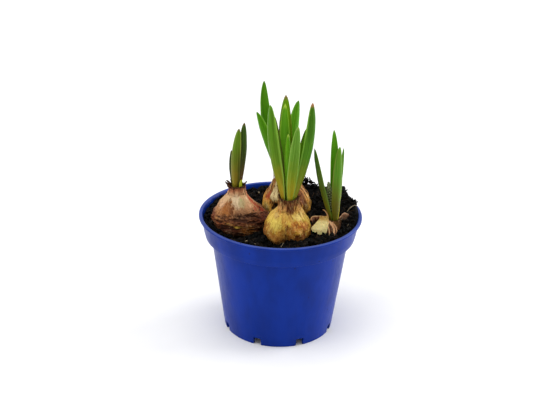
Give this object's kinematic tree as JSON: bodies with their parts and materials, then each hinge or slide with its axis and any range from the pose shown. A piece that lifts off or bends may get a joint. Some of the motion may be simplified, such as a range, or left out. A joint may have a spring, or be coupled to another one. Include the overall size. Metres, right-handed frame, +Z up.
{
  "type": "potted grape hyacinth bulbs",
  "caption": "Sprouting grape hyacinth bulbs with strap leaves and a flower bud, half out of the compost in a small round plastic pot.",
  "frame": {"origin": "centre of the pot's foot, on the surface that the pot stands on", "axes": "+Z up along the pot's axis; -Y is the front, towards the viewer; +X is the viewer's right"},
  "size_m": [0.09, 0.09, 0.1399],
  "materials": {
    "pot": "blue injection-moulded plastic, semi-gloss",
    "compost": "dark moist potting compost, crumbly",
    "bulb_brown": "papery brown and tan bulb skin",
    "bulb_golden": "golden bulb skin with brown patches",
    "bulb_tan": "tan bulb skin with cream and reddish patches",
    "bulb_pale": "pale brown bulb skin",
    "leaf": "smooth waxy green leaf, yellower at the foot",
    "bud": "matt grey-green closed florets",
    "skin_cream": "dry cream bulb scale",
    "skin_brown": "dry pinkish brown bulb skin"
  },
  "bodies": {
    "root": {"pot": "pot", "compost": "compost", "bulb_left": "bulb_brown", "bulb_centre": "bulb_golden", "bulb_rear": "bulb_tan", "bulb_right": "bulb_pale", "leaf_left_front": "leaf", "leaf_left_right": "leaf", "leaf_left_back": "leaf", "leaf_left_sheath": "leaf", "leaf_centre_left": "leaf", "leaf_centre_leftInner": "leaf", "leaf_centre_back": "leaf", "leaf_centre_middle": "leaf", "leaf_centre_small": "leaf", "leaf_centre_front": "leaf", "leaf_centre_right": "leaf", "leaf_centre_rightInner": "leaf", "leaf_rear_tall": "leaf", "leaf_rear_left": "leaf", "leaf_rear_right": "leaf", "leaf_right_left": "leaf", "leaf_right_back": "leaf", "leaf_right_front": "leaf", "leaf_right_thin": "leaf", "flower_bud": "bud", "skin_front": "skin_cream", "skin_strip": "skin_brown", "skin_rim": "skin_brown", "skin_scale": "skin_brown"}
  },
  "joints": []
}
